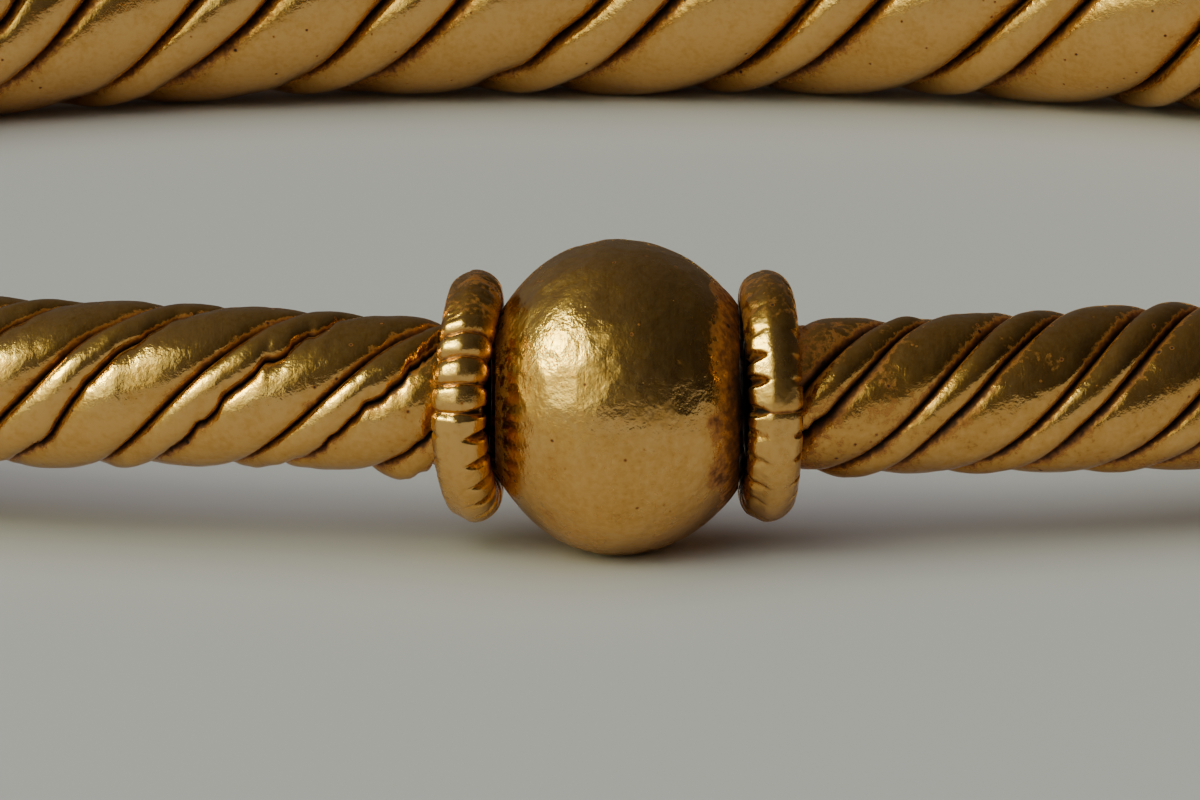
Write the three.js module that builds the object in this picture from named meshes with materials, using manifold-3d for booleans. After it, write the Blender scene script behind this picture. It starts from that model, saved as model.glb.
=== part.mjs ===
// A twisted gold arm ring. Three thick and three thin tapering rods are twisted together into
// one oval hoop. A ball between two collars of round wire closes the thin end of the hoop.
//
// Millimetres, +Z up. The ring lies flat on z = 0, with the ball towards -Y and the thickest
// part of the hoop towards +Y. The origin is the middle of the ring's footprint.

import * as THREE from "three";
import Module from "manifold-3d";

// The hoop's centre line, an oval seen from above
const hoopHalfWidth = 46;
const hoopHalfDepth = 35;
// How far the hoop dips between the ball, the sides and the front
const hoopSag = 0.45;
// A slight rise of the hoop left of the ball: its height, and in degrees its place and spread
const leftRise = 0.18;
const leftRiseAngle = 14.3;
const leftRiseSpread = 6.3;

// The bundle of twisted rods
const bundleRadiusAtBall = 2.09;
const bundleRadiusAtFront = 4.9;
// How much thinner the bundle gets where it passes under a collar, and over what length
const leftNeckDepth = 0.28;
const rightNeckDepth = 0.34;
const neckLength = 2.6;
// Full turns of the rods from end to end, and how much slower they turn at the left end
const rodTurns = 14.496;
const leftEndStretch = 1.07;
// Where the first thick rod starts at the right end, in degrees up from the outer side
const twistAtRightEnd = 3.5;

// One rod in the bundle's section, in degrees and as shares of the bundle's radius
const thickHalfSpan = 39.5;
const grooveRadius = 0.86;
const thinRodRoot = 0.5;
// The gap between neighbouring rods, and between a rod's end and the ball
const rodGap = 0.12;
const rodEndGap = 0.25;

// The ball, with its two ends cut off square, and how far its oval would reach without the cuts
const ballDiameter = 9;
const ballLength = 6.86;
const ballLeftReach = 3.9;
const ballRightReach = 4.2;

// The collars of round wire on either side of the ball
const collarWireDiameter = 1.56;
const collarDiameter = 7.2;
const collarGap = 0.08;
// How far a collar is sprung away from the ball on its outer side
const leftCollarBow = 0.38;
const rightCollarBow = 0.17;

// Depth of the worn flats that the ring rests on, under the ball and under the front
const wornFlatDepth = 0.12;

// Fineness of the solids
const sectionsPerTurn = 8.8;
const ballSegments = 16;
const ballRings = 9;
const collarSegments = 24;
const collarSides = 7;

const ballRadius = ballDiameter / 2;
const ballCentreHeight = ballRadius - wornFlatDepth;
const frontCentreHeight = bundleRadiusAtFront - wornFlatDepth;
const turn = Math.PI * 2;

const wasm = await Module();
wasm.setup();

// The centre line of the hoop, from the ball round by +X and back to the ball
class HoopLine extends THREE.Curve {
  getPoint(t, target = new THREE.Vector3()) {
    const angle = t * turn;
    const rise = ((frontCentreHeight - ballCentreHeight) * (1 - Math.cos(angle))) / 2;
    const dip = hoopSag * Math.sin(2 * angle) ** 2;
    const fromPeak = (360 - leftRiseAngle - THREE.MathUtils.radToDeg(angle)) / leftRiseSpread;
    return target.set(
      hoopHalfWidth * Math.sin(angle),
      -hoopHalfDepth * Math.cos(angle),
      ballCentreHeight + rise - dip + leftRise * Math.exp(-(fromPeak ** 2)),
    );
  }
}

const hoop = new HoopLine();
hoop.arcLengthDivisions = 2000;
const hoopLength = hoop.getLength();

// The bundle's radius at a length along the hoop: an even taper, necked in next to the ball
function bundleRadius(length) {
  const fromBall = Math.min(length, hoopLength - length);
  const share = fromBall / (hoopLength / 2);
  const taper = THREE.MathUtils.lerp(bundleRadiusAtBall, bundleRadiusAtFront, share);
  const neck = 1 - THREE.MathUtils.smoothstep(fromBall, ballLength / 2, ballLength / 2 + neckLength);
  return taper - (length < hoopLength / 2 ? rightNeckDepth : leftNeckDepth) * neck;
}

// How fast the rods turn at a length along the hoop: faster where the bundle is thin
function turnSpeed(length) {
  return 1 / (THREE.MathUtils.lerp(1, leftEndStretch, length / hoopLength) * bundleRadius(length));
}

// The cross-sections that the rods are built on, an equal step of twist apart
function bundleSections() {
  const start = ballLength / 2 + rodEndGap;
  const steps = 4000;
  const step = (hoopLength - 2 * start) / steps;
  const turned = [0];
  for (let i = 0; i < steps; i++) turned.push(turned[i] + turnSpeed(start + (i + 0.5) * step));
  const count = Math.ceil(rodTurns * sectionsPerTurn);
  const sections = [];
  let at = 0;
  for (let n = 0; n <= count; n++) {
    const wanted = (turned[steps] * n) / count;
    while (at < steps - 1 && turned[at + 1] < wanted) at++;
    const share = Math.min(1, (wanted - turned[at]) / (turned[at + 1] - turned[at]));
    const twist = twistAtRightEnd + (360 * rodTurns * n) / count;
    sections.push(sectionFrame(start + (at + share) * step, twist));
  }
  return sections;
}

// One cross-section: its middle, its outward and upward directions, its radius and its twist
function sectionFrame(length, twist) {
  const tangent = hoop.getTangentAt(length / hoopLength);
  const outward = new THREE.Vector3(tangent.y, -tangent.x, 0).normalize();
  const upward = new THREE.Vector3().crossVectors(outward, tangent);
  return {
    middle: hoop.getPointAt(length / hoopLength),
    outward,
    upward,
    radius: bundleRadius(length),
    twist,
  };
}

// The outline of one rod, anticlockwise, as angle from the rod's middle and share of the radius.
// "shift" moves a corner sideways by a share of the rod gap, to keep it off the next rod.
// "back" tells which way the strip that starts at the corner is split in two triangles, so
// that the strips of two rods that face each other are split alike and stay apart.
const thickOutline = [
  { angle: -thickHalfSpan, radius: grooveRadius, shift: 0.5, back: true },
  { angle: -thickHalfSpan * 0.45, radius: 1, shift: 0, back: true },
  { angle: thickHalfSpan * 0.45, radius: 1, shift: 0, back: true },
  { angle: thickHalfSpan, radius: grooveRadius, shift: -0.5, back: true },
  { angle: 60, radius: thinRodRoot, shift: -0.5, back: false },
  { angle: 0, radius: 0, shift: 0, inset: 0.58, back: true },
  { angle: -60, radius: thinRodRoot, shift: 0.5, back: true },
];
const thinOutline = [
  { angle: thickHalfSpan - 60, radius: grooveRadius, shift: 0.5, back: true },
  { angle: 0, radius: 1, shift: 0, back: true },
  { angle: 60 - thickHalfSpan, radius: grooveRadius, shift: -0.5, back: false },
  { angle: 0, radius: thinRodRoot, shift: 0, inset: 0.8, back: false },
];

// The place of one outline corner on one cross-section
function cornerPoint(section, corner, rodAngle) {
  const angle = THREE.MathUtils.degToRad(section.twist + rodAngle + corner.angle);
  const middle = THREE.MathUtils.degToRad(section.twist + rodAngle);
  const out = section.radius * corner.radius;
  const inset = (corner.inset ?? 0) * rodGap;
  const sideways = corner.shift * rodGap;
  const x = Math.cos(angle) * out - Math.sin(angle) * sideways + Math.cos(middle) * inset;
  const y = Math.sin(angle) * out + Math.cos(angle) * sideways + Math.sin(middle) * inset;
  return section.middle.clone().addScaledVector(section.outward, x).addScaledVector(section.upward, y);
}

// One twisted rod, as corner points and triangles
function rodSurface(sections, outline, rodAngle) {
  const points = [];
  const faces = [];
  const sides = outline.length;
  for (const section of sections) {
    for (const corner of outline) points.push(cornerPoint(section, corner, rodAngle));
  }
  for (let n = 0; n < sections.length - 1; n++) {
    for (let j = 0; j < sides; j++) {
      const a = n * sides + j;
      const b = n * sides + ((j + 1) % sides);
      const c = a + sides;
      const d = b + sides;
      if (outline[j].back) faces.push([a, c, b], [b, c, d]);
      else faces.push([a, d, b], [a, c, d]);
    }
  }
  const last = (sections.length - 1) * sides;
  for (let j = 1; j < sides - 1; j++) {
    faces.push([0, j, j + 1]);
    faces.push([last, last + j + 1, last + j]);
  }
  return { points, faces };
}

// A surface swept round the X axis or a collar's ring, closed on itself both ways
function ringSurface(segments, sides, place) {
  const points = [];
  const faces = [];
  for (let i = 0; i < segments; i++) {
    for (let j = 0; j < sides; j++) points.push(place(i / segments, j / sides));
  }
  for (let i = 0; i < segments; i++) {
    const next = (i + 1) % segments;
    for (let j = 0; j < sides; j++) {
      const a = i * sides + j;
      const b = i * sides + ((j + 1) % sides);
      const c = next * sides + j;
      const d = next * sides + ((j + 1) % sides);
      faces.push([a, c, b], [b, c, d]);
    }
  }
  return { points, faces };
}

// The radius of the ball at a distance along its axis
function ballRadiusAt(x) {
  const reach = x < 0 ? ballLeftReach : ballRightReach;
  return ballRadius * Math.sqrt(Math.max(0, 1 - (x / reach) ** 2));
}

// The ball: an oval turned about the X axis, with flat ends
function ballSurface() {
  const points = [];
  const faces = [];
  const half = ballLength / 2;
  for (let r = 0; r < ballRings; r++) {
    const share = (2 * r) / (ballRings - 1) - 1;
    const reach = share < 0 ? ballLeftReach : ballRightReach;
    const x = reach * Math.sin(share * Math.asin(half / reach));
    const radius = ballRadiusAt(x);
    for (let i = 0; i < ballSegments; i++) {
      const angle = (turn * i) / ballSegments;
      points.push(new THREE.Vector3(x, -Math.cos(angle) * radius, Math.sin(angle) * radius));
    }
  }
  for (let r = 0; r < ballRings - 1; r++) {
    for (let i = 0; i < ballSegments; i++) {
      const next = (i + 1) % ballSegments;
      const a = r * ballSegments + i;
      const b = r * ballSegments + next;
      const c = a + ballSegments;
      const d = b + ballSegments;
      faces.push([a, c, b], [b, c, d]);
    }
  }
  const last = (ballRings - 1) * ballSegments;
  for (let i = 1; i < ballSegments - 1; i++) {
    faces.push([0, i, i + 1]);
    faces.push([last, last + i + 1, last + i]);
  }
  for (const point of points) point.add(hoop.getPoint(0));
  return { points, faces };
}

// How far from the ball's middle a collar's wire sits when it touches the ball but for the gap
function collarSeat(side) {
  const reach = collarWireDiameter / 2 + collarGap;
  const wireRing = (collarDiameter - collarWireDiameter) / 2;
  const samples = 400;
  let seat = 0;
  for (let i = 0; i <= samples; i++) {
    const x = (ballLength / 2) * (i / samples);
    const off = ballRadiusAt(side * x) - wireRing;
    if (Math.abs(off) < reach) seat = Math.max(seat, x + Math.sqrt(reach ** 2 - off ** 2));
  }
  return seat;
}

// One collar, side -1 for the left and 1 for the right
function collarSurface(side, bow) {
  const wireRadius = collarWireDiameter / 2;
  const wireRing = collarDiameter / 2 - wireRadius;
  const seat = collarSeat(side);
  const share = seat / hoopLength;
  const middle = hoop.getPointAt(side > 0 ? share : 1 - share);
  const ball = hoop.getPoint(0);
  return ringSurface(collarSegments, collarSides, (around, across) => {
    const angle = turn * around;
    const tilt = turn * (across + 0.5 / collarSides);
    const nearShare = Math.max(0, Math.cos(angle)) ** 2;
    const radius = wireRing + wireRadius * Math.cos(tilt);
    return new THREE.Vector3(
      ball.x + side * (seat + bow * nearShare) - wireRadius * Math.sin(tilt),
      middle.y - Math.cos(angle) * radius,
      middle.z + Math.sin(angle) * radius,
    );
  });
}

// Turns a surface into a solid and cuts off what lies below the floor
function solidOnFloor({ points, faces }) {
  const mesh = new wasm.Mesh({
    numProp: 3,
    vertProperties: new Float32Array(points.flatMap((p) => [p.x, p.y, p.z])),
    triVerts: new Uint32Array(faces.flat()),
  });
  const cut = new wasm.Manifold(mesh).trimByPlane([0, 0, 1], 0).getMesh();
  const geometry = new THREE.BufferGeometry();
  geometry.setAttribute("position", new THREE.BufferAttribute(cut.vertProperties, 3));
  geometry.setIndex(new THREE.BufferAttribute(cut.triVerts, 1));
  geometry.computeVertexNormals();
  return geometry;
}

function goldMesh(name, surface, colour, roughness) {
  const material = new THREE.MeshStandardMaterial({ color: colour, roughness, metalness: 1 });
  const mesh = new THREE.Mesh(solidOnFloor(surface), material);
  mesh.name = name;
  return mesh;
}

// The pieces
const ring = new THREE.Group();
const sections = bundleSections();
for (let k = 0; k < 3; k++) {
  const thick = rodSurface(sections, thickOutline, 120 * k);
  const thin = rodSurface(sections, thinOutline, 120 * k + 60);
  ring.add(goldMesh(`thick_rod_${k + 1}`, thick, 0xb98a3c, 0.34));
  ring.add(goldMesh(`thin_rod_${k + 1}`, thin, 0xc0923f, 0.32));
}
ring.add(goldMesh("ball", ballSurface(), 0xb5873d, 0.38));
ring.add(goldMesh("left_collar", collarSurface(-1, leftCollarBow), 0xbd8f40, 0.3));
ring.add(goldMesh("right_collar", collarSurface(1, rightCollarBow), 0xbd8f40, 0.3));

// The middle of the footprint goes to the origin
const footprint = new THREE.Box3().setFromObject(ring);
const centre = footprint.getCenter(new THREE.Vector3());
ring.position.set(-centre.x, -centre.y, -footprint.min.z);

const armRing = new THREE.Group();
armRing.add(ring);
export default armRing;
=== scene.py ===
"""The looks of a twisted gold arm ring: worn gold rods, ball and collars with dirt in the grooves.

Lengths are named in millimetres, as in the CAD source, and turned into metres when a mesh is made.
"""

import math

import bpy
import numpy as np
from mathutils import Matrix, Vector


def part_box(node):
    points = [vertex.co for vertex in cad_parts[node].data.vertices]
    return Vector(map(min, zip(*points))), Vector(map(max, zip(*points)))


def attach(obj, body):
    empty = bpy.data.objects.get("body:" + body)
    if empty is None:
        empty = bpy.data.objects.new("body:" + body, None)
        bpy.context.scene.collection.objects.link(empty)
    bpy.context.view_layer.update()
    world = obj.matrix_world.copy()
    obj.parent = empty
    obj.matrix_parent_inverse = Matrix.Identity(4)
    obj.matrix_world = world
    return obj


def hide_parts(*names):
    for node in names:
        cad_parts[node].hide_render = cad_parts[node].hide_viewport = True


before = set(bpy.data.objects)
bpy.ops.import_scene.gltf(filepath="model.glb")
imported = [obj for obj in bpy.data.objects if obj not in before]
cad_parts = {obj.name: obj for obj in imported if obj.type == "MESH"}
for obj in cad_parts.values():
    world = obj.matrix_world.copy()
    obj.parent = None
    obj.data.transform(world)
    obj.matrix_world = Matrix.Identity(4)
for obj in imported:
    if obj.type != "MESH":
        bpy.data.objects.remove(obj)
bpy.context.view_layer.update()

MM = 0.001
TURN = 2 * math.pi

# The ring, as in the CAD source
HOOP_HALF_WIDTH = 46
HOOP_HALF_DEPTH = 35
HOOP_SAG = 0.45
LEFT_RISE = 0.18
LEFT_RISE_ANGLE = 14.3
LEFT_RISE_SPREAD = 6.3
BUNDLE_RADIUS_AT_BALL = 2.09
BUNDLE_RADIUS_AT_FRONT = 4.9
LEFT_NECK_DEPTH = 0.28
RIGHT_NECK_DEPTH = 0.34
NECK_LENGTH = 2.6
ROD_TURNS = 14.496
LEFT_END_STRETCH = 1.07
TWIST_AT_RIGHT_END = 3.5
THICK_HALF_SPAN = 39.5
THIN_ROD_ROOT = 0.5
ROD_END_GAP = 0.25
BALL_RADIUS = 4.5
BALL_HALF = 3.43
BALL_LEFT_REACH = 3.9
BALL_RIGHT_REACH = 4.2
WIRE_RADIUS = 0.78
WIRE_RING = 2.82
COLLAR_GAP = 0.08
LEFT_COLLAR_BOW = 0.38
RIGHT_COLLAR_BOW = 0.17
WORN_FLAT_DEPTH = 0.12

# How finely the hoop and the rods are divided
FINE_STEPS = 20001
TANGENT_STEP = 1e-4
SECTION_STEP_AT_BALL = 0.085
SECTION_STEP_SHARE = 0.06
CLOSE_SECTIONS_END = 14
WIDE_SECTIONS_START = 20
THICK_LOBE_STEPS = 41
THIN_LOBE_STEPS = 25

# Relief and stains on the rods, and painted shade on them at the right
THICK_ROUNDNESS = 2.6
THIN_ROUNDNESS = 2.2
SEAM_GAP = 0.02
GROOVE_DROP = 0.12
LIP_DROP = 0.09
LIP_SHARPNESS = 12
SEAM_WANDER = 7.0
RIGHT_CALM = 0.35
TRACK_SPACING = 17.3
CREST_WEAR = 0.02
DENT_DEPTH = 0.07
THICK_LUMP_DEPTH = 0.03
THIN_LUMP_DEPTH = 0.09
RIPPLE_DEPTH = 0.015
LEFT_BULGE = 0.3
LEFT_BULGE_PLACE = 5.9
LEFT_BULGE_SPREAD = 1.1
RIGHT_BULGE = 0.12
RIGHT_BULGE_PLACE = 6.6
RIGHT_BULGE_SPREAD = 1.2
BULGE_ANGLE = -84
BULGE_ANGLE_SPREAD = 30
STAIN_START = 4.6
STAIN_FADE = 1.3
# painted shade, with some dirt: how much darker the rods are at the right, near the ball
RIGHT_DIRT_AND_SHADE = 0.1

# Relief on the ball and the collars
BALL_FLATS = 260
BALL_FLAT_DEPTH = 0.02
BALL_WEAR = 0.03
BALL_DENT_DEPTH = 0.025
NOTCHES = 27
NOTCH_DEPTH = 0.28
LEFT_NOTCH_ANGLE = 5.6
RIGHT_NOTCH_ANGLE = 6.0
CREST_FLAT = 0.06
CREST_FLAT_TILT = 0.5
HATCH_DEPTH = 0.04
HATCH_SLANT = 4
SHALLOW_NOTCH = 0.22
UPPER_NOTCH_WEAR = 0.55
COLLAR_PRESS = 0.06
COLLAR_WEAR = 0.04
COLLAR_DENT_DEPTH = 0.05

BALL_HEIGHT = BALL_RADIUS - WORN_FLAT_DEPTH
FRONT_HEIGHT = BUNDLE_RADIUS_AT_FRONT - WORN_FLAT_DEPTH

# The hoop's middle, found from where the CAD ball is
ball_low, ball_high = (np.array(corner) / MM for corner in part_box("ball"))
HOOP_MIDDLE = np.array([(ball_low[0] + ball_high[0]) / 2, ball_low[1] + BALL_RADIUS + HOOP_HALF_DEPTH, 0])
BALL_CENTRE = HOOP_MIDDLE + [0, -HOOP_HALF_DEPTH, BALL_HEIGHT]


# Smooth noise, worked out from the place alone, so that every run gives the same ring


def lattice(cell, seed):
    """A fixed random number from -1 to 1 for each whole-number place."""
    mixed = cell[..., 0] * 73856093 ^ cell[..., 1] * 19349663 ^ cell[..., 2] * 83492791 ^ seed * 265443576
    mixed = (mixed ^ (mixed >> 13)) * 1274126177 & 0x7FFFFFFF
    mixed = (mixed ^ (mixed >> 11)) * 668265263 & 0x7FFFFFFF
    return (mixed & 0xFFFFF) / 0xFFFFF * 2 - 1


def noise(points, size, seed):
    """Smooth noise from -1 to 1, with lumps of about the given size."""
    place = points / size
    cell = np.floor(place).astype(np.int64)
    part = place - cell
    part = part * part * (3 - 2 * part)
    total = np.zeros(points.shape[:-1])
    for corner in np.ndindex(2, 2, 2):
        weight = np.prod(np.where(corner, part, 1 - part), axis=-1)
        total += weight * lattice(cell + np.array(corner), seed)
    return total


def smoothstep(value, low, high):
    """Rises smoothly from 0 at the low value to 1 at the high one."""
    share = np.clip((value - low) / (high - low), 0, 1)
    return share * share * (3 - 2 * share)


def between(value, start, full, full_end, end):
    """Rises from 0 to 1 between the first two values and falls back between the last two."""
    return smoothstep(value, start, full) * (1 - smoothstep(value, full_end, end))


# The hoop's centre line


def hoop_points(angle):
    """Points on the centre line; the angle is 0 at the ball and grows towards +X."""
    rise = (FRONT_HEIGHT - BALL_HEIGHT) * (1 - np.cos(angle)) / 2
    from_peak = (360 - LEFT_RISE_ANGLE - np.degrees(angle)) / LEFT_RISE_SPREAD
    rise += LEFT_RISE * np.exp(-(from_peak**2))
    height = BALL_HEIGHT + rise - HOOP_SAG * np.sin(2 * angle) ** 2
    line = np.stack([HOOP_HALF_WIDTH * np.sin(angle), -HOOP_HALF_DEPTH * np.cos(angle), height], -1)
    return line + HOOP_MIDDLE


ANGLES = np.linspace(0, TURN, FINE_STEPS)
LENGTHS = np.concatenate([[0], np.cumsum(np.linalg.norm(np.diff(hoop_points(ANGLES), axis=0), axis=1))])
HOOP_LENGTH = LENGTHS[-1]


def hoop_frames(lengths):
    """Middle, outward and upward directions of the cross-sections at these lengths along the hoop."""
    angle = np.interp(lengths, LENGTHS, ANGLES)
    tangent = hoop_points(angle + TANGENT_STEP) - hoop_points(angle - TANGENT_STEP)
    tangent /= np.linalg.norm(tangent, axis=-1, keepdims=True)
    outward = np.stack([tangent[..., 1], -tangent[..., 0], np.zeros_like(angle)], -1)
    outward /= np.linalg.norm(outward, axis=-1, keepdims=True)
    return hoop_points(angle), outward, np.cross(outward, tangent)


def length_from_ball(lengths):
    return np.minimum(lengths, HOOP_LENGTH - lengths)


def bundle_radius(lengths):
    share = length_from_ball(lengths) / (HOOP_LENGTH / 2)
    taper = BUNDLE_RADIUS_AT_BALL + (BUNDLE_RADIUS_AT_FRONT - BUNDLE_RADIUS_AT_BALL) * share
    neck = 1 - smoothstep(length_from_ball(lengths), BALL_HALF, BALL_HALF + NECK_LENGTH)
    return taper - np.where(lengths < HOOP_LENGTH / 2, RIGHT_NECK_DEPTH, LEFT_NECK_DEPTH) * neck


def running_sum(values):
    return np.concatenate([[0], np.cumsum((values[1:] + values[:-1]) / 2)])


def bundle_sections():
    """Lengths and twists, in degrees, of cross-sections that lie closest near the ball."""
    start = BALL_HALF + ROD_END_GAP
    lengths = np.linspace(start, HOOP_LENGTH - start, FINE_STEPS)
    radius = bundle_radius(lengths)
    turned = running_sum(1 / ((1 + (LEFT_END_STRETCH - 1) * lengths / HOOP_LENGTH) * radius))
    twists = TWIST_AT_RIGHT_END + 360 * ROD_TURNS * turned / turned[-1]
    far = smoothstep(length_from_ball(lengths), CLOSE_SECTIONS_END, WIDE_SECTIONS_START)
    step = SECTION_STEP_AT_BALL * (1 - far) + SECTION_STEP_SHARE * radius * far
    count = running_sum((lengths[1] - lengths[0]) / step)
    chosen = np.interp(np.linspace(0, count[-1], math.ceil(count[-1])), count, lengths)
    return chosen, np.interp(chosen, lengths, twists)


# Meshes


def grid_faces(rows, columns, close_rows=False):
    """Quads over rows of points whose columns close on themselves, and the rows too if asked."""
    row = np.arange(rows if close_rows else rows - 1)[:, None]
    column = np.arange(columns)[None, :]
    a = row * columns + column
    b = row * columns + (column + 1) % columns
    c = (row + 1) % rows * columns + column
    d = (row + 1) % rows * columns + (column + 1) % columns
    return np.stack([a, c, d, b], -1).reshape(-1, 4)


def end_faces(rows, columns):
    """The two flat faces that close a grid's first and last row."""
    return [np.arange(columns), (rows - 1) * columns + np.arange(columns)[::-1]]


def make_piece(name, points, dirt_and_shade, quads, ends, material):
    """A smooth mesh from points in millimetres, in place of the CAD node of that name."""
    loops = np.concatenate([quads.ravel(), *ends]).astype(np.int32)
    sizes = np.concatenate([np.full(len(quads), 4), [len(end) for end in ends]]).astype(np.int32)
    starts = np.concatenate([[0], np.cumsum(sizes)[:-1]]).astype(np.int32)
    mesh = bpy.data.meshes.new(name + "_gold")
    mesh.vertices.add(len(points))
    mesh.vertices.foreach_set("co", (points * MM).astype(np.float32).ravel())
    mesh.loops.add(len(loops))
    mesh.loops.foreach_set("vertex_index", loops)
    mesh.polygons.add(len(sizes))
    mesh.polygons.foreach_set("loop_start", starts)
    mesh.polygons.foreach_set("use_smooth", sizes == 4)
    mesh.update(calc_edges=True)
    layer = mesh.attributes.new("dirt_and_shade", "FLOAT", "POINT")
    layer.data.foreach_set("value", np.clip(dirt_and_shade, 0, 1).astype(np.float32))
    mesh.materials.append(material)
    piece = bpy.data.objects.new(name + "_gold", mesh)
    bpy.context.scene.collection.objects.link(piece)
    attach(piece, "root")
    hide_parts(name)


# The rods, numbered 0 to 5 round the bundle: the even ones thick, the odd ones thin


def seam_angle(rod, lengths):
    """Where the seam after a rod lies, in degrees round the bundle; it is straighter at the right."""
    span = THICK_HALF_SPAN if rod % 2 == 0 else 60 - THICK_HALF_SPAN
    own_track = np.full_like(lengths, TRACK_SPACING * (rod % 6))
    track = np.stack([lengths, own_track, np.zeros_like(lengths)], -1)
    track /= (bundle_radius(lengths) / BUNDLE_RADIUS_AT_BALL)[:, None]
    if rod % 2 == 0:
        wander = noise(track, 2.1, 11) + 0.5 * noise(track, 0.8, 12)
    else:
        wander = 0.45 * noise(track, 3.2, 13)
    calmer = 1 - RIGHT_CALM * (1 - smoothstep(lengths, 20, 60))
    return 60 * rod + span + SEAM_WANDER * calmer * wander


def flank(seam, lip, root_angle, shares):
    """From a seam's lip straight down to the thin rods' root, as angles and shares of the radius."""
    start = lip * np.stack([np.cos(np.radians(seam)), np.sin(np.radians(seam))], -1)
    turn = math.radians(root_angle)
    stop = THIN_ROD_ROOT * np.array([math.cos(turn), math.sin(turn)])
    line = start[:, None] * shares[None, :, None] + stop * (1 - shares)[None, :, None]
    angle = np.degrees(np.arctan2(line[..., 1], line[..., 0]))
    return root_angle + (angle - root_angle + 180) % 360 - 180, np.linalg.norm(line, axis=-1)


def rod_points(rod, lobe_steps, roundness, seed):
    """One rod's points, by section along the hoop and step round the rod, and their dirt and painted shade.
    """
    lengths, twists = bundle_sections()
    middle, outward, upward = hoop_frames(lengths)
    radius = bundle_radius(lengths)
    scale = (radius / BUNDLE_RADIUS_AT_BALL)[:, None]
    thick = rod % 2 == 0
    own = 60 * rod
    low = seam_angle(rod - 1, lengths)
    high = seam_angle(rod, lengths)

    # Round the outer lobe from seam to seam, with closer steps at its edges
    across = np.sin(np.linspace(-math.pi / 2, math.pi / 2, lobe_steps))[None, :]
    lobe_angle = (high + low)[:, None] / 2 + (high - low)[:, None] / 2 * across
    lobe_share = 1 - GROOVE_DROP * np.abs(across) ** roundness - LIP_DROP * np.abs(across) ** LIP_SHARPNESS
    lobe_share = np.broadcast_to(lobe_share, lobe_angle.shape)

    # Down one flank, through the root, and up the other
    lip = 1 - GROOVE_DROP - LIP_DROP
    shares = np.array([0.9, 0.6, 0.2])
    spread = 60 if thick else 0
    down_angle, down_share = flank(high, lip, own + spread, shares)
    up_angle, up_share = flank(low, lip, own - spread, shares)
    if thick:
        root = [(60, THIN_ROD_ROOT), (60, 0.2), (0, 0.02), (-60, 0.2), (-60, THIN_ROD_ROOT)]
    else:
        root = [(0, THIN_ROD_ROOT + 0.02)]
    root_angle = np.tile([own + offset for offset, _ in root], (len(lengths), 1))
    root_share = np.tile([share for _, share in root], (len(lengths), 1))
    angle = np.concatenate([lobe_angle, down_angle, root_angle, up_angle[:, ::-1]], 1)
    share = np.concatenate([lobe_share, down_share, root_share, up_share[:, ::-1]], 1)

    # Into place, a hair off the seams
    turn = np.radians(angle + twists[:, None])
    lean = np.clip((own - angle) / 5, -1, 1) * SEAM_GAP / 2
    lean[:, :lobe_steps] *= np.abs(across) ** LIP_SHARPNESS
    x = np.cos(turn) * share * radius[:, None] - np.sin(turn) * lean
    y = np.sin(turn) * share * radius[:, None] + np.cos(turn) * lean
    out = outward[:, None] * x[..., None] + upward[:, None] * y[..., None]
    points = middle[:, None] + out
    out /= np.maximum(np.linalg.norm(out, axis=-1, keepdims=True), 1e-6)

    # Wear and dents, and the thin rods' bulges at the underside next to the collars, none in the seams
    lobe = np.zeros_like(share)
    lobe[:, :lobe_steps] = 1 - np.abs(across) ** 6
    hit = noise(points / scale[..., None], 1.0, seed)
    lumps = noise(points / scale[..., None], 1.7, seed + 4)
    inward = CREST_WEAR * scale * (1 + noise(points, 2.8, seed + 1)) / 2
    inward = inward + DENT_DEPTH * scale * np.clip(hit - 0.15, 0, 1)
    lump_depth = THICK_LUMP_DEPTH if thick else THIN_LUMP_DEPTH
    inward = inward + lump_depth * scale * np.clip(0.1 + lumps, 0, 1)
    inward = inward + RIPPLE_DEPTH * np.clip(noise(points, 0.35, seed + 2), 0, 1)
    if not thick:
        inward = inward - bulge(lengths, angle + twists[:, None])
    points -= out * (inward * lobe)[..., None]
    points[..., 2] = np.maximum(points[..., 2], 0)

    # Dirt in the seams and deeper dents and beside the collars; at the right, wider seams, and a darker film
    # that is partly dirt and partly painted shade
    dirt_and_shade = np.ones_like(share)
    left = smoothstep(lengths, HOOP_LENGTH / 3, HOOP_LENGTH * 2 / 3)[:, None]
    dirt_and_shade[:, :lobe_steps] = np.abs(across) ** (6.5 + 0.8 * left)
    dirt_and_shade += 0.3 * lobe * np.clip(hit - 0.45, 0, 1)
    from_collar = np.maximum(length_from_ball(lengths) - STAIN_START, 0)
    near_ball = np.exp(-from_collar / STAIN_FADE)[:, None]
    dirt_and_shade += 0.4 * near_ball * (0.7 + 0.3 * noise(points, 0.6, seed + 3))
    # painted shade: the rods at the right are darkened for the light falling off there, besides some dirt
    dirt_and_shade += (RIGHT_DIRT_AND_SHADE * (1 - smoothstep(lengths, 20, 40)))[:, None]
    return points, dirt_and_shade


def bulge(lengths, angle):
    """How far a rod swells at the underside, next to either collar."""
    from_bulge = (angle - BULGE_ANGLE + 180) % 360 - 180
    from_left = (HOOP_LENGTH - lengths - LEFT_BULGE_PLACE) / LEFT_BULGE_SPREAD
    from_right = (lengths - RIGHT_BULGE_PLACE) / RIGHT_BULGE_SPREAD
    spots = LEFT_BULGE * np.exp(-(from_left**2)) + RIGHT_BULGE * np.exp(-(from_right**2))
    return spots[:, None] * np.exp(-((from_bulge / BULGE_ANGLE_SPREAD) ** 2))


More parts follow.
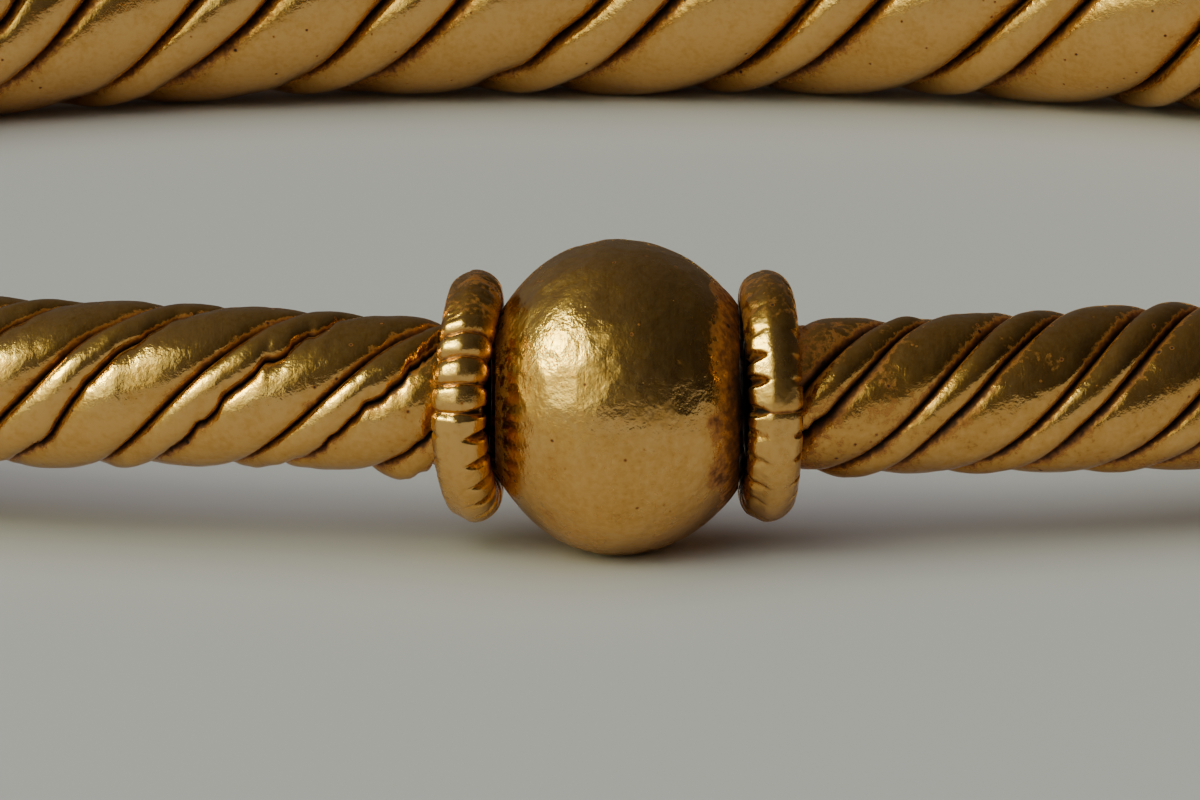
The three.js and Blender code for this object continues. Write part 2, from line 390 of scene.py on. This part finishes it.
def make_rod(name, rod, lobe_steps, roundness, material):
    """One rod's piece; its place round the bundle also seeds its dents."""
    points, dirt_and_shade = rod_points(rod, lobe_steps, roundness, 100 + 10 * rod)
    rows, columns = dirt_and_shade.shape
    quads = grid_faces(rows, columns)
    ends = end_faces(rows, columns)
    make_piece(name, points.reshape(-1, 3), dirt_and_shade.ravel(), quads, ends, material)


# The ball


def ball_radius_at(x):
    reach = np.where(x < 0, BALL_LEFT_REACH, BALL_RIGHT_REACH)
    return BALL_RADIUS * np.sqrt(np.maximum(0, 1 - (x / reach) ** 2))


def make_ball(material):
    """An oval turned about the X axis with flat ends, hammered into many faint flats."""
    rows, columns = 180, 360
    share = np.linspace(-1, 1, rows)[:, None]
    reach = np.where(share < 0, BALL_LEFT_REACH, BALL_RIGHT_REACH)
    x = reach * np.sin(share * np.arcsin(BALL_HALF / reach))
    around = np.linspace(0, TURN, columns, endpoint=False)[None, :]
    radius = ball_radius_at(x)
    points = np.stack([x + 0 * around, -np.cos(around) * radius, np.sin(around) * radius], -1)
    body = smoothstep(BALL_HALF - np.abs(x), 0.15, 0.6) + 0 * around

    # Each flat is a plane just under the surface; what stands proud of it is pushed back to it
    index = np.arange(BALL_FLATS)
    rise = 1 - 2 * (index + 0.5) / BALL_FLATS
    swing = index * math.pi * (3 - math.sqrt(5)) + 0.9 * lattice(np.stack([index, index, index], -1), 5)
    flat_radius = np.sqrt(1 - rise**2)
    facing = np.stack([flat_radius * np.cos(swing), flat_radius * np.sin(swing), rise], -1)
    flat_reach = np.where(facing[:, :1] < 0, BALL_LEFT_REACH, BALL_RIGHT_REACH)
    axes = np.concatenate([flat_reach, np.full_like(flat_reach, BALL_RADIUS)], 1)[:, [0, 1, 1]]
    depth = BALL_FLAT_DEPTH * (1 + 0.8 * lattice(np.stack([index, 3 * index, 7 * index], -1), 6))
    depth *= 0.4 + 0.6 * smoothstep(facing[:, 2], -0.35, 0.2)
    proud = points @ facing.T - (np.linalg.norm(facing * axes, axis=-1) - depth)
    most = proud.argmax(-1)
    push = np.clip(np.take_along_axis(proud, most[..., None], -1), 0, None)
    points = points - facing[most] * push * body[..., None]

    hit = noise(points, 0.9, 31)
    inward = BALL_WEAR * (1 + noise(points, 3.2, 30)) / 2 + BALL_DENT_DEPTH * np.clip(hit - 0.3, 0, 1)
    points -= points / np.linalg.norm(points, axis=-1, keepdims=True) * (inward * body)[..., None]
    points += BALL_CENTRE
    points[..., 2] = np.maximum(points[..., 2], 0)

    # Dirt at both ends, thicker and wider at the right, where the darkening is also painted shade for the
    # unlit right end and is darkest at that end; a little all over, and more in the deeper dents
    right = x >= 0
    from_end = BALL_HALF - np.abs(x) + 0.15 * noise(points, 0.9, 33)
    # painted shade: at the right the ball darkens towards its end as if unlit, besides its stain
    dirt_and_shade = np.where(right, 0.55, 0.3) * (1 - smoothstep(from_end, 0.1, np.where(right, 1.1, 0.8)))
    dirt_and_shade = dirt_and_shade + 0.5 * right * (1 - smoothstep(from_end, -0.1, 0.15))
    dirt_and_shade = dirt_and_shade + 0.06 + 0.5 * np.clip(hit - 0.62, 0, 1)
    quads = grid_faces(rows, columns)
    ends = end_faces(rows, columns)
    make_piece("ball", points.reshape(-1, 3), dirt_and_shade.ravel(), quads, ends, material)


# The collars


def collar_seat(side):
    """How far from the ball's middle a collar's wire sits when it all but touches the ball."""
    reach = WIRE_RADIUS + COLLAR_GAP
    x = np.linspace(0, BALL_HALF, 401)
    off = ball_radius_at(side * x) - WIRE_RING
    return (x + np.sqrt(np.maximum(0, reach**2 - off**2)))[np.abs(off) < reach].max()


def collar_points(side, bow, around, tilt, radius):
    """Points on a collar's wire; "around" is 0 on the outer side, "tilt" 90 degrees towards the ball."""
    seat = collar_seat(side)
    middle = hoop_frames(np.array([seat if side > 0 else HOOP_LENGTH - seat]))[0][0]
    near = np.maximum(0, np.cos(around)) ** 2
    press = COLLAR_PRESS * (1 - smoothstep(np.cos(around), -0.2, 0.4))
    ring = WIRE_RING + radius * np.cos(tilt)
    x = BALL_CENTRE[0] + side * (seat + bow * near - press - radius * np.sin(tilt))
    return np.stack([x, middle[1] - np.cos(around) * ring, middle[2] + np.sin(around) * ring], -1)


def make_collar(
    name, side, material, bow, notch_angle, notch_width, far_nicks, deep, beaded, bead_depth, top_dirt
):
    """A ring of round wire, notched from the ball's side, with nicks on the other side.

    The ranges "deep", where notches are cut deep, and "beaded", where grooves run right across the crest
    and leave beads, are in degrees above the outer side.
    """
    rows, columns = 540, 44
    around = np.linspace(0, TURN, rows, endpoint=False)[:, None]
    tilt = np.linspace(0, TURN, columns, endpoint=False)[None, :]

    # A notch opens and deepens from the crest towards the ball, less at the worn top; grooves part the beads
    pitch = 360 / NOTCHES
    degrees = np.degrees(around)
    index = np.round((degrees - notch_angle) / pitch)
    place = np.stack([index, index * 0, index * 0], -1).astype(np.int64)
    across = np.abs((degrees - notch_angle) / pitch - index + 0.09 * lattice(place, 41 + side))
    uneven = lattice(place, 61 + side)
    signed = (degrees + 180) % 360 - 180
    crest = between(signed, beaded[0] - 3, beaded[0], beaded[1], beaded[1] + 3)
    worn_top = 1 - UPPER_NOTCH_WEAR * between(signed, 38, 60, 110, 150)
    kept = between(signed, deep[0] - 6, deep[0], deep[1], deep[1] + 6)
    open_to_ball = smoothstep(np.sin(tilt), -0.02 - 0.12 * uneven, 0.85)
    open_to_far = smoothstep(-np.sin(tilt), 0.6, 0.95)
    ball_side = np.clip(1 - across / (0.03 + notch_width * open_to_ball), 0, 1) * open_to_ball
    ball_side = ball_side * (1 + 0.3 * uneven) * worn_top
    ball_side = ball_side * (SHALLOW_NOTCH + (1 - SHALLOW_NOTCH) * kept)
    far_side = np.clip(1 - across / (0.05 + 0.12 * open_to_far), 0, 1) * open_to_far * far_nicks
    wire_outside = np.cos(tilt) > -0.3
    hoop_outside = np.cos(around) > -0.3
    over = (1 - 2 * np.minimum(across, 0.5)) ** 3 * bead_depth * crest * wire_outside
    notch = np.maximum(np.maximum(ball_side, far_side), over)
    notch = notch * hoop_outside

    # Rubbed flat on the left of the crest, and the left collar hatched above its beads
    facing_left = np.maximum(np.cos(tilt - side * CREST_FLAT_TILT), 0.5)
    rubbed = WIRE_RADIUS * (1 - np.minimum(1, (1 - CREST_FLAT) / facing_left))
    cut = NOTCH_DEPTH * notch + rubbed * hoop_outside
    if side < 0:
        slant = HATCH_SLANT * np.sin(tilt)
        lines = np.stack([degrees - slant, slant + 0 * degrees, 0 * degrees * tilt], -1)
        hatched = between(signed, 47, 53, 95, 110) * wire_outside
        cut = cut + HATCH_DEPTH * hatched * np.clip(noise(lines, 2.0, 71), 0, 1)
    points = collar_points(side, bow, around, tilt, WIRE_RADIUS - cut)
    worn = COLLAR_WEAR * (1 + noise(points, 1.3, 43 + side)) / 2 * smoothstep(np.cos(tilt), 0.2, 1)
    worn = worn + COLLAR_DENT_DEPTH * np.clip(noise(points, 0.6, 47 + side) - 0.15, 0, 1)
    points = collar_points(side, bow, around, tilt, WIRE_RADIUS - cut - worn)

    # Dirt in the notches and grooves, inside the ring, over its top, and at the right next to the ball
    dirt_and_shade = 0.75 * np.maximum(ball_side, far_side) + 0.55 * crest * np.clip(1 - across / 0.1, 0, 1)
    dirt_and_shade = dirt_and_shade + 0.45 * (1 - smoothstep(np.cos(tilt), -0.6, 0.0))
    if side > 0:
        dirt_and_shade = dirt_and_shade + 0.15 * smoothstep(np.sin(tilt), 0.5, 0.9) * (0.7 + 0.3 * noise(points, 0.5, 51))
    top = top_dirt * between(signed, 44, 62, 130, 160)
    dirt_and_shade = dirt_and_shade + 0.3 * (1 - worn_top) + top * (1 + noise(points, 0.7, 53))
    quads = grid_faces(rows, columns, close_rows=True)
    if side < 0:
        quads = quads[:, ::-1]
    make_piece(name, points.reshape(-1, 3), dirt_and_shade.ravel(), quads, [], material)


# The gold


class Nodes:
    """Short ways to add and join the nodes of a material or of the world."""

    def __init__(self, owner):
        owner.use_nodes = True
        self.tree = owner.node_tree
        self.tree.nodes.clear()

    def add(self, kind, values=None, **settings):
        node = self.tree.nodes.new(kind)
        for key, value in settings.items():
            setattr(node, key, value)
        for key, value in (values or {}).items():
            if isinstance(value, bpy.types.NodeSocket):
                self.tree.links.new(value, node.inputs[key])
            else:
                node.inputs[key].default_value = value
        return node

    def math(self, operation, a, b=0.0):
        return self.add("ShaderNodeMath", {0: a, 1: b}, operation=operation).outputs[0]

    def noise(self, place, scale, detail, roughness=0.5):
        values = {"Vector": place, "Scale": scale, "Detail": detail, "Roughness": roughness}
        return self.add("ShaderNodeTexNoise", values).outputs["Fac"]

    def stretched(self, place, scale, turn=(0, 0, 0)):
        values = {"Vector": place, "Scale": scale, "Rotation": turn}
        return self.add("ShaderNodeMapping", values).outputs["Vector"]

    def ramp(self, value, *stops):
        """Maps a value to a colour or a number; each stop is a place and a colour or a number."""
        node = self.add("ShaderNodeValToRGB", {"Fac": value})
        elements = node.color_ramp.elements
        while len(elements) < len(stops):
            elements.new(0.5)
        for element, (place, shade) in zip(elements, stops):
            element.position = place
            element.color = (*shade, 1) if isinstance(shade, tuple) else (shade, shade, shade, 1)
        return node.outputs["Color"]


# Colours from clean to dirtiest, which also carry the painted shade, and how much strokes and scratches
# count beside the hammer marks
STAIN_AND_SHADE_COLOURS = (
    (0.0, (0.8, 0.46, 0.15)),
    (0.25, (0.7, 0.36, 0.09)),
    (0.42, (0.5, 0.19, 0.037)),
    (0.56, (0.22, 0.07, 0.014)),
    (0.74, (0.075, 0.023, 0.006)),
    (0.9, (0.02, 0.009, 0.004)),
)
STROKE_SHARE = 0.05
SCRATCH_SHARE = 0.05


def gold(name, grain_depth, brushed, scratch_turns, roughness, seed):
    """Old gold: bright where it is rubbed, matte and red-brown to black where dirt has stayed or shade is
    painted.
    """
    material = bpy.data.materials.new(name)
    n = Nodes(material)
    place = n.add("ShaderNodeTexCoord").outputs["Object"]
    place = n.stretched(place, (1 / MM, 1 / MM, 1 / MM))
    shift = (seed, 2 * seed, 3 * seed)
    place = n.add("ShaderNodeVectorMath", {0: place, 1: shift}, operation="ADD").outputs[0]
    dirt_and_shade = n.add("ShaderNodeAttribute", attribute_name="dirt_and_shade").outputs["Fac"]

    # Where the dirt has stayed, and where shade is painted: the groove, spread and broken up
    clouds = n.noise(place, 0.9, 3.0, 0.6)
    specks = n.noise(place, 5.0, 2.0, 0.6)
    spread = n.math("ADD", n.math("MULTIPLY", clouds, 0.4), n.math("MULTIPLY", specks, 0.6))
    stain_and_shade = n.math("ADD", dirt_and_shade, n.math("SUBTRACT", spread, 0.45))

    # Pits: small dark holes here and there
    cells = n.add("ShaderNodeTexVoronoi", {"Vector": place, "Scale": 1.5, "Randomness": 1.0})
    near_cell = n.ramp(cells.outputs["Distance"], (0.0, 1.0), (0.12, 0.0))
    pits = n.math("MULTIPLY", near_cell, n.ramp(clouds, (0.44, 0.0), (0.52, 1.0)))
    stain_and_shade = n.math("ADD", stain_and_shade, n.math("MULTIPLY", pits, 0.9))

    colour = n.ramp(stain_and_shade, *STAIN_AND_SHADE_COLOURS)
    metal = n.ramp(stain_and_shade, (0.28, 1.0), (0.44, 0.4), (0.85, 0.12))

    # Rubbed and scuffed patches
    rough = n.ramp(clouds, (0.35, roughness * 0.75), (0.65, roughness * 1.4))
    rough = n.math("ADD", rough, n.ramp(stain_and_shade, (0.32, 0.0), (0.6, 0.3), (0.85, 0.45)))

    # Fine hammer marks, and brush strokes drawn out one way
    hammer = n.noise(place, 3.2, 3.5, 0.62)
    strokes = n.noise(n.stretched(place, brushed), 1.0, 2.0, 0.6)
    height = n.math("ADD", n.math("MULTIPLY", strokes, STROKE_SHARE), hammer)

    # Scratches: thin lines where drawn-out noise passes its middle, here and there
    for index, turn in enumerate(scratch_turns):
        lines = n.noise(n.stretched(place, (3.2, 0.45, 0.45), turn), 1.0 + 0.3 * index, 0.0)
        off = n.math("ABSOLUTE", n.math("SUBTRACT", lines, 0.5))
        shown = n.ramp(specks, (0.42, 0.0), (0.6, 1.0))
        cut = n.math("MULTIPLY", n.ramp(off, (0.0, 1.0), (0.045, 0.0)), shown)
        height = n.math("SUBTRACT", height, n.math("MULTIPLY", cut, SCRATCH_SHARE))
    bump = n.add("ShaderNodeBump", {"Height": height, "Strength": 1.0, "Distance": grain_depth * MM})

    values = {"Base Color": colour, "Metallic": metal, "Roughness": rough, "Normal": bump.outputs["Normal"]}
    shader = n.add("ShaderNodeBsdfPrincipled", values)
    n.add("ShaderNodeOutputMaterial", {"Surface": shader.outputs["BSDF"]})
    return material


rod_gold = gold("rod_gold", 0.032, (3.0, 3.0, 0.5), [(0.2, 0.9, 0.25), (0, 0.5, -0.9)], 0.18, 3.0)
thin_gold = gold("thin_rod_gold", 0.028, (3.0, 3.0, 0.5), [(0.1, 0.9, 0.5), (0, 0.4, -0.8)], 0.18, 8.0)
ball_gold = gold("ball_gold", 0.038, (5.0, 0.4, 0.4), [(0, 0.4, 0.9), (0.2, 0.9, 0.4)], 0.23, 5.0)
collar_gold = gold("collar_gold", 0.03, (3.0, 0.6, 0.6), [(0.4, 0.3, 1.2)], 0.23, 1.0)

for number in range(3):
    rod = 2 * number
    make_rod(f"thick_rod_{number + 1}", rod, THICK_LOBE_STEPS, THICK_ROUNDNESS, rod_gold)
    make_rod(f"thin_rod_{number + 1}", rod + 1, THIN_LOBE_STEPS, THIN_ROUNDNESS, thin_gold)
make_ball(ball_gold)
make_collar(
    "left_collar",
    -1,
    collar_gold,
    bow=LEFT_COLLAR_BOW,
    notch_angle=LEFT_NOTCH_ANGLE,
    notch_width=0.21,
    far_nicks=0.2,
    deep=(-75, 8),
    beaded=(3, 48),
    bead_depth=0.6,
    top_dirt=0.12,
)
make_collar(
    "right_collar",
    1,
    collar_gold,
    bow=RIGHT_COLLAR_BOW,
    notch_angle=RIGHT_NOTCH_ANGLE,
    notch_width=0.25,
    far_nicks=0.45,
    deep=(0, 40),
    beaded=(3, 8),
    bead_depth=0.16,
    top_dirt=0.05,
)


# The floor


FLOOR_REACH = 3.0
FLOOR_COLOUR = (0.68, 0.685, 0.74, 1)


def make_floor():
    corners = [(x * FLOOR_REACH, y * FLOOR_REACH, 0) for x, y in ((-1, -1), (1, -1), (1, 1), (-1, 1))]
    mesh = bpy.data.meshes.new("floor")
    mesh.from_pydata(corners, [], [(0, 1, 2, 3)])
    material = bpy.data.materials.new("pale_floor")
    n = Nodes(material)
    values = {"Base Color": FLOOR_COLOUR, "Roughness": 0.85, "Specular IOR Level": 0.15}
    shader = n.add("ShaderNodeBsdfPrincipled", values)
    n.add("ShaderNodeOutputMaterial", {"Surface": shader.outputs["BSDF"]})
    mesh.materials.append(material)
    floor = bpy.data.objects.new("floor", mesh)
    bpy.context.scene.collection.objects.link(floor)


make_floor()


# The light: a wide soft window at the front left, brightest at its left end, and a dark room


def soft_light(name, azimuth, elevation, distance, size, radiance, tint, seen_by="both"):
    """A panel that faces the ball; azimuth 0 is the camera's side and -90 the left one."""
    across, up = math.radians(azimuth), math.radians(elevation)
    towards = Vector((math.sin(across) * math.cos(up), -math.cos(across) * math.cos(up), math.sin(up)))
    light = bpy.data.lights.new(name, "AREA")
    light.shape = "RECTANGLE"
    light.size, light.size_y = size
    light.energy = radiance * math.pi * size[0] * size[1]
    light.color = tint
    lamp = bpy.data.objects.new(name, light)
    lamp.location = Vector(BALL_CENTRE * MM) + towards * distance
    lamp.rotation_mode = "QUATERNION"
    lamp.rotation_quaternion = towards.to_track_quat("Z", "Y")
    lamp.visible_glossy = seen_by != "floor"
    lamp.visible_diffuse = seen_by != "metal"
    bpy.context.scene.collection.objects.link(lamp)


WINDOW_TINT = (0.93, 1.07, 0.58)
CORE_TINT = (0.93, 1.15, 0.56)
soft_light("window_core", -76, 36, 1.62, (0.6, 0.46), 18.0, CORE_TINT, "metal")
soft_light("window_wide", -64, 33, 1.6, (1.25, 0.95), 1.8, WINDOW_TINT)
soft_light("window_front", -41, 29, 1.58, (1.2, 1.0), 0.6, WINDOW_TINT)
soft_light("window_low", -58, 10, 1.56, (1.9, 0.38), 0.9, WINDOW_TINT)
soft_light("overhead", 0, 85, 2.2, (4.0, 4.0), 0.55, (1.03, 1.0, 0.92), "floor")
soft_light("front", -22, 42, 1.6, (1.0, 0.8), 1.2, (1.02, 1.0, 0.9), "floor")
soft_light("fill", 60, 45, 1.6, (1.6, 1.2), 0.2, (1.02, 1.0, 1.0), "floor")

ROOM_LEFT = (0.2, 0.195, 0.185)
ROOM_MIDDLE = (0.11, 0.107, 0.1)
ROOM_RIGHT = (0.02, 0.019, 0.018)

world = bpy.data.worlds.new("dark_room")
bpy.context.scene.world = world
room = Nodes(world)
direction = room.add("ShaderNodeTexCoord").outputs["Generated"]
sideways = room.add("ShaderNodeSeparateXYZ", {"Vector": direction}).outputs["X"]
share = room.math("MULTIPLY", room.math("ADD", sideways, 1.0), 0.5)
shade = room.ramp(share, (0.0, ROOM_LEFT), (0.45, ROOM_MIDDLE), (1.0, ROOM_RIGHT))
background = room.add("ShaderNodeBackground", {"Color": shade, "Strength": 1.0})
room.add("ShaderNodeOutputWorld", {"Surface": background.outputs["Background"]})


# The camera, at the photo's viewing angle, with the ball's middle at the same pixel of the frame

VIEW_ELEVATION = math.radians(12.95)
VIEW_DISTANCE = 0.22
SENSOR_WIDTH = 36
FRAME_PIXELS = (1200, 800)
FOCAL_PIXELS = 7766
BALL_PIXEL = (617, 397)

camera = bpy.data.objects.new("camera", bpy.data.cameras.new("camera"))
bpy.context.scene.collection.objects.link(camera)
camera.data.sensor_width = SENSOR_WIDTH
camera.data.lens = SENSOR_WIDTH * FOCAL_PIXELS / FRAME_PIXELS[0]
camera.data.clip_start = 0.01
camera.data.clip_end = 20
back = Vector((0, -math.cos(VIEW_ELEVATION), math.sin(VIEW_ELEVATION)))
camera_up = Vector((0, math.sin(VIEW_ELEVATION), math.cos(VIEW_ELEVATION)))
metres_per_pixel = VIEW_DISTANCE / FOCAL_PIXELS
aim = Vector(BALL_CENTRE * MM)
aim.x += (FRAME_PIXELS[0] / 2 - BALL_PIXEL[0]) * metres_per_pixel
aim -= camera_up * (FRAME_PIXELS[1] / 2 - BALL_PIXEL[1]) * metres_per_pixel
camera.location = aim + back * VIEW_DISTANCE
camera.rotation_mode = "QUATERNION"
camera.rotation_quaternion = back.to_track_quat("Z", "Y")
bpy.context.scene.camera = camera
bpy.context.scene.view_settings.view_transform = "AgX"
